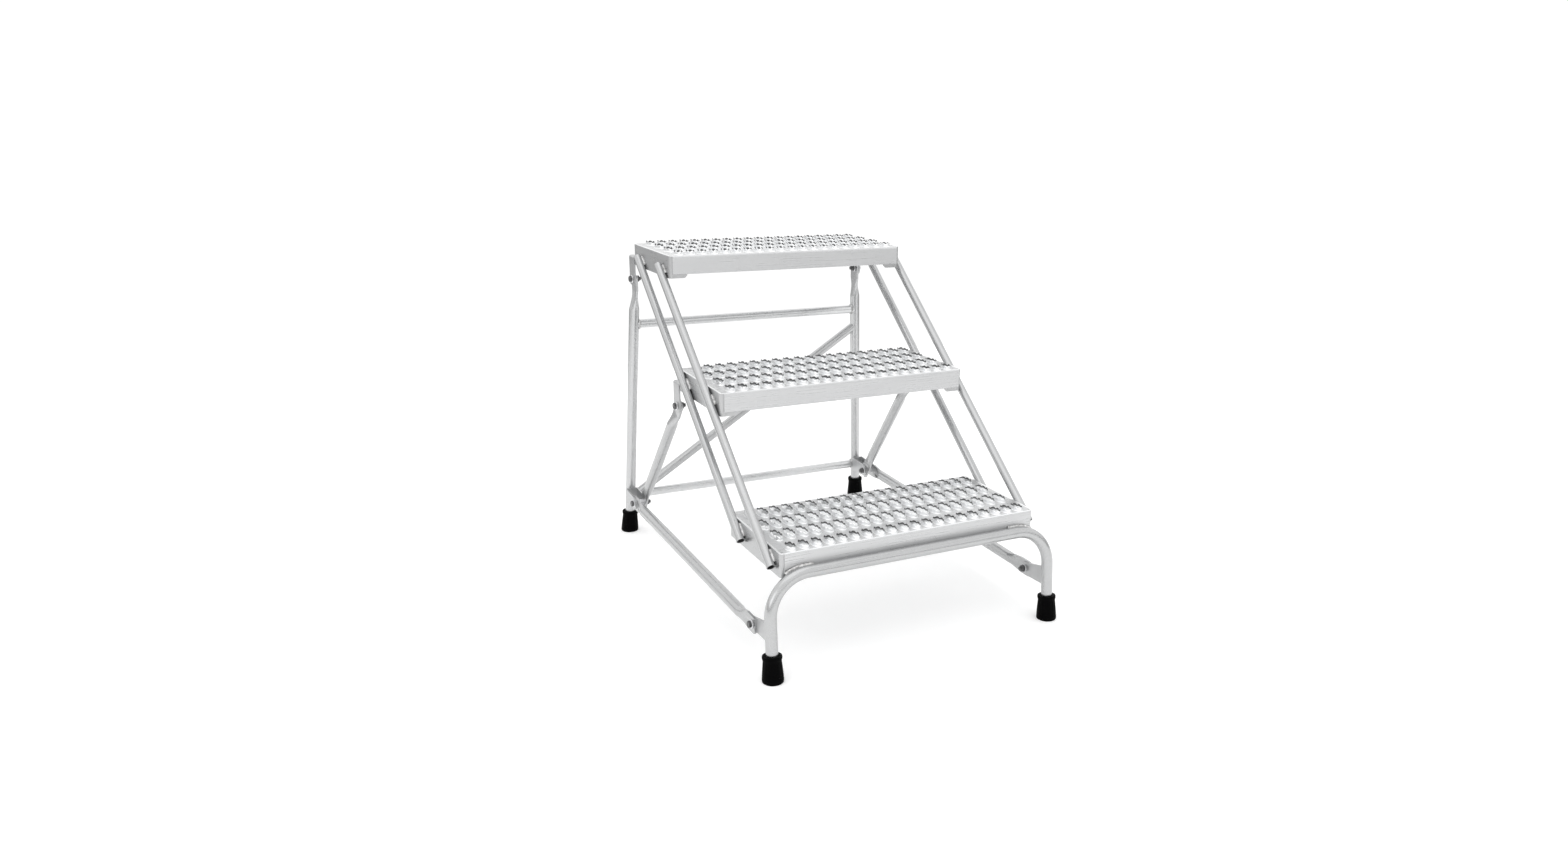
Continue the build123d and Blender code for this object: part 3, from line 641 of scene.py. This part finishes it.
def build_feet():
    rubber = rubber_material()
    rear_y = LEG_Y + LEG_BACK - Y_C
    front_y = HOOP_FOOT_Y - Y_C
    for name, base, lean in (
            ("foot_front_right", (HOOP_HALF, front_y), (0.0, HOOP_LEAN)),
            ("foot_front_left", (-HOOP_HALF, front_y), (0.0, HOOP_LEAN)),
            ("foot_rear_right", (LEG_X + LEG_OUT, rear_y), (-LEG_OUT / LEG_Z, -LEG_BACK / LEG_Z)),
            ("foot_rear_left", (-LEG_X - LEG_OUT, rear_y), (LEG_OUT / LEG_Z, -LEG_BACK / LEG_Z))):
        verts, faces = [], []
        steps = FOOT_STEPS
        for r, z, ribbed in FOOT_PROFILE:
            for k in range(steps):
                a = 2 * math.pi * k / steps
                q = r - RIB_CUT if ribbed and k % 6 in (0, 1) else r
                verts.append((q * math.cos(a), q * math.sin(a), z))
        for i in range(len(FOOT_PROFILE) - 1):
            for k in range(steps):
                j = (k + 1) % steps
                faces.append((i * steps + k, i * steps + j, (i + 1) * steps + j,
                              (i + 1) * steps + k))
        m = len(verts)
        verts.append((0, 0, FOOT_PROFILE[0][1]))
        faces += [((k + 1) % steps, k, m) for k in range(steps)]
        mtx = axis_matrix((base[0], base[1], 0.0), (lean[0], lean[1], 1.0))
        pts = placed(verts, mtx)
        pts = [Vector((p.x, p.y, max(p.z, 0.0))) * MM for p in pts]
        o = add_mesh(name + "_detail", pts, faces, [rubber], 30)
        bm = bmesh.new()
        bm.from_mesh(o.data)
        bmesh.ops.remove_doubles(bm, verts=bm.verts, dist=0.00001)
        bmesh.ops.dissolve_degenerate(bm, edges=bm.edges, dist=0.00001)
        bm.to_mesh(o.data)
        bm.free()
        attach(o, "root")
        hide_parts(name)


# ------------------------------------------------------------------ weld beads


BEAD_STEP, RIPPLE = 0.8, 2.1        # spacing of points and of ripples along a bead


def bead(path, radius, normal_at, seed, squash=0.62):
    """Rippled weld bead along a path of points, flattened along the surface normal."""
    pts = [Vector(p) for p in path]
    # points every BEAD_STEP along the path
    out, normals = [], []
    for i in range(len(pts) - 1):
        seg = pts[i + 1] - pts[i]
        n = max(1, int(seg.length / BEAD_STEP))
        for k in range(n):
            out.append(pts[i] + seg * (k / n))
            normals.append(Vector(normal_at[i]).lerp(Vector(normal_at[i + 1]), k / n))
    out.append(pts[-1])
    normals.append(Vector(normal_at[-1]))
    verts, faces, n = [], [], 12
    total = len(out)
    for i, (p, nv) in enumerate(zip(out, normals)):
        d = (out[min(i + 1, total - 1)] - out[max(i - 1, 0)]).normalized()
        nv = (nv - d * nv.dot(d)).normalized()
        side = d.cross(nv)
        end = min(i, total - 1 - i)
        taper = min(1.0, 0.35 + 0.25 * end)
        ripple = 1.0 + 0.13 * math.sin(i * BEAD_STEP / RIPPLE * 2 * math.pi
                                       + 0.4 * math.sin(i * 0.13))
        wob = 1.0 + 0.10 * noise.noise(p * 0.11 + Vector((seed, 0, 0)))
        r = radius * taper * ripple * wob
        for k in range(n):
            a = 2 * math.pi * k / n
            verts.append(p + side * (r * math.cos(a)) + nv * (r * squash * math.sin(a)))
    for i in range(total - 1):
        for k in range(n):
            j = (k + 1) % n
            faces.append((i * n + k, i * n + j, (i + 1) * n + j, (i + 1) * n + k))
    faces.append(tuple(reversed(range(n))))
    faces.append(tuple(range((total - 1) * n, total * n)))
    return verts, faces


def joined(parts):
    verts, faces = [], []
    for v, f in parts:
        s = len(verts)
        verts += list(v)
        faces += [tuple(i + s for i in q) for q in f]
    return verts, faces


def ring_path(centre, axis, radius, steps):
    """A closed ring of points round an axis, with their outward directions."""
    m = axis_matrix(centre, axis, (0, 0, 1))
    pts, nrm = [], []
    for k in range(steps + 1):
        a = math.radians(360.0 * k / steps)
        d = m.to_3x3() @ Vector((math.cos(a), math.sin(a), 0))
        pts.append(Vector(centre) + d * radius)
        nrm.append(d)
    return pts, nrm


RAIL_SLOPE = 1.2535
RAIL_Y = (-247.0, -89.0)    # where the front and rear rails would meet the floor
RAIL_WELD_X, RAIL_DROP = 306.0, 27.0
RISE = 254.0
HOOP_BEAD_Y, HOOP_BEAD_Z = -3.4, 225.4
BAR_Z = (562.0, 101.0)      # upper and lower crossbar
BRACKET_Z = 104.0


def weld_piece(name, parts, material, node):
    """One piece made of several beads, in place of a CAD weld node."""
    v, f = joined(parts)
    o = add_mesh(name, [p * MM for p in v], f, [material], 60)
    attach(o, "root")
    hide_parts(node)


def leg_point(z, side):
    """Point on a rear leg's axis at a height."""
    t = (LEG_Z - z) / LEG_Z
    return Vector((side * (LEG_X + t * LEG_OUT), LEG_Y + t * LEG_BACK - Y_C, z))


def build_welds():
    weld = weld_material()
    d = Vector((0, RAIL_SLOPE, 1)).normalized()
    nrm = Vector((0, -1, RAIL_SLOPE)).normalized()
    seed = 3
    parts = []
    for s in (1, -1):
        for y0 in RAIL_Y:
            for k in (1, 2, 3):
                top = RISE * k
                mid = top - RAIL_DROP
                zc = (max(mid, 233.0), mid, min(mid, 724.0))[k - 1]
                c = Vector((s * RAIL_WELD_X, y0 + RAIL_SLOPE * zc - Y_C, zc))
                for q in (1, -1):
                    seed += 1
                    half = 13.0 + (seed * 7 % 5)
                    off = nrm * (q * 7.0) + Vector((s * 1.6, 0, 0))
                    a, b = c + off - d * half, c + off + d * half
                    nv = (nrm * q * 0.75 + Vector((s * 0.65, 0, 0))).normalized()
                    parts.append(bead([a, (a + b) / 2, b], 3.1, [nv] * 3, seed))
    weld_piece("rail_weld_beads", parts, weld, "rail_welds")
    # the hoop's bends to the lower corners of the bottom tread
    parts = []
    for s in (1, -1):
        seed += 1
        pts = [Vector((s * 236.0, HOOP_BEAD_Y - Y_C, HOOP_BEAD_Z))]
        for k in range(7):
            a = math.radians(33.0 * k / 6)
            drop = HOOP_R * (1 - math.cos(a))
            pts.append(Vector((s * (HOOP_HALF - HOOP_R + HOOP_R * math.sin(a)),
                               HOOP_BEAD_Y - 0.09 * drop - Y_C,
                               HOOP_BEAD_Z - drop + 2.0 * k / 6)))
        parts.append(bead(pts, 3.3, [Vector((0, -0.75, 0.66))] * len(pts), seed))
    weld_piece("hoop_weld_beads", parts, weld, "hoop_welds")
    # crossbars to legs, and foot brackets to the fronts of the legs
    parts = []
    for z in BAR_Z:
        for s in (1, -1):
            p = leg_point(z, s)
            seed += 1
            pts, nr = ring_path((s * (abs(p.x) - 12.9), p.y, z), (1, 0, 0), 11.6, 44)
            parts.append(bead(pts, 2.5, nr, seed, 0.8))
    for s in (1, -1):
        p = leg_point(BRACKET_Z, s)
        for q in (1, -1):
            seed += 1
            pts = [Vector((p.x + q * 10.0, p.y - 10.2, z))
                   for z in (88.0, 96.0, BRACKET_Z, 112.0, 120.0)]
            parts.append(bead(pts, 2.3, [Vector((q * 0.9, 0.1, 0))] * 5, seed, 0.8))
    weld_piece("frame_weld_beads", parts, weld, "frame_welds")


build_treads()
dress_nodes()
build_hardware()
build_feet()
build_welds()

# ------------------------------------------------------------------ floor, light, camera


def floor_material():
    """Plain pale floor with the faintest clouding and a slight glow, as soft light from below."""
    m = Mat("floor")
    cloud = m.noise(m.mapping(), 3.0, 3, 0.5)
    m.link(m.ramp(cloud, [(0.3, 0.90), (0.7, 0.93)]), m.bsdf.inputs["Base Color"])
    m.set(Roughness=0.9, Specular_IOR_Level=0.0, Emission_Color=(1, 1, 1, 1),
          Emission_Strength=0.18)
    return m.m


FLOOR_X, FLOOR_Y = (-3.5, 2.1), (-8, 2.3)
SKY_STRENGTH, BACKDROP_WHITE = 1.22, 1.05

me = bpy.data.meshes.new("floor")
me.from_pydata([(FLOOR_X[0], FLOOR_Y[0], 0), (FLOOR_X[1], FLOOR_Y[0], 0),
                (FLOOR_X[1], FLOOR_Y[1], 0), (FLOOR_X[0], FLOOR_Y[1], 0)], [], [(0, 1, 2, 3)])
me.materials.append(floor_material())
floor = bpy.data.objects.new("floor", me)
bpy.context.scene.collection.objects.link(floor)

world = bpy.data.worlds.new("studio")
bpy.context.scene.world = world
world.use_nodes = True
nt = world.node_tree
nt.nodes.clear()
w_out = nt.nodes.new("ShaderNodeOutputWorld")
bg_cam = nt.nodes.new("ShaderNodeBackground")
bg_cam.inputs[0].default_value = (1, 1, 1, 1)
bg_cam.inputs[1].default_value = BACKDROP_WHITE
bg_env = nt.nodes.new("ShaderNodeBackground")
w_coord = nt.nodes.new("ShaderNodeTexCoord")
w_sep = nt.nodes.new("ShaderNodeSeparateXYZ")
nt.links.new(w_coord.outputs["Generated"], w_sep.inputs[0])
w_ramp = nt.nodes.new("ShaderNodeValToRGB")
# brightness of the surroundings from straight down (0) to straight up (1)
stops = [(0.0, 0.45), (0.47, 0.45), (0.50, 0.55), (0.55, 0.72), (0.61, 1.0), (0.75, 1.0),
         (1.0, 0.92)]
while len(w_ramp.color_ramp.elements) < len(stops):
    w_ramp.color_ramp.elements.new(0.5)
for e, (pos, val) in zip(w_ramp.color_ramp.elements, stops):
    e.position, e.color = pos, (val, val, val, 1)
w_map = nt.nodes.new("ShaderNodeMapRange")
w_map.inputs["From Min"].default_value = -1.0
w_map.inputs["From Max"].default_value = 1.0
nt.links.new(w_sep.outputs["Z"], w_map.inputs["Value"])
nt.links.new(w_map.outputs[0], w_ramp.inputs[0])
nt.links.new(w_ramp.outputs[0], bg_env.inputs[0])
bg_env.inputs[1].default_value = SKY_STRENGTH
w_path = nt.nodes.new("ShaderNodeLightPath")
w_mix = nt.nodes.new("ShaderNodeMixShader")
nt.links.new(w_path.outputs["Is Camera Ray"], w_mix.inputs[0])
nt.links.new(bg_env.outputs[0], w_mix.inputs[1])
nt.links.new(bg_cam.outputs[0], w_mix.inputs[2])
nt.links.new(w_mix.outputs[0], w_out.inputs[0])


def area(name, place, aim, size, power):
    data = bpy.data.lights.new(name, "AREA")
    data.shape = "RECTANGLE"
    data.size, data.size_y = size
    data.energy = power
    o = bpy.data.objects.new(name, data)
    bpy.context.scene.collection.objects.link(o)
    o.location = place
    o.rotation_mode = "QUATERNION"
    o.rotation_quaternion = (Vector(aim) - Vector(place)).to_track_quat("-Z", "Y")


area("key_top", (-0.6, -0.6, 3.2), (0, 0, 0.3), (3.2, 3.2), 14)
area("left_fill", (-3.4, -1.6, 1.5), (0, 0, 0.4), (2.0, 1.6), 8)

scene = bpy.context.scene
scene.view_settings.view_transform = "Standard"
scene.view_settings.look = "None"

LENS_MM, SHIFT_X, SHIFT_Y = 25.44612865, -0.046889146, 0.020049649
right = Vector((0.8822914366424064, -0.4702758823706021, 0.020060291324659713))
up = Vector((0.12521649365715887, 0.2755758678946598, 0.95308906758514))
fwd = Vector((0.453742934428389, 0.8383904433464497, -0.3020245254307307))
cam_data = bpy.data.cameras.new("camera")
cam_data.sensor_width = 36.0
cam_data.lens = LENS_MM
cam_data.shift_x, cam_data.shift_y = SHIFT_X, SHIFT_Y
cam_data.clip_start, cam_data.clip_end = 0.05, 100.0
cam = bpy.data.objects.new("camera", cam_data)
scene.collection.objects.link(cam)
pose = Matrix((right, up, -fwd)).transposed().to_4x4()
pose.translation = Vector((-1138.3327, -1845.3716 - Y_C, 1081.1635)) * MM
cam.matrix_world = pose
scene.camera = cam

bpy.context.view_layer.update()
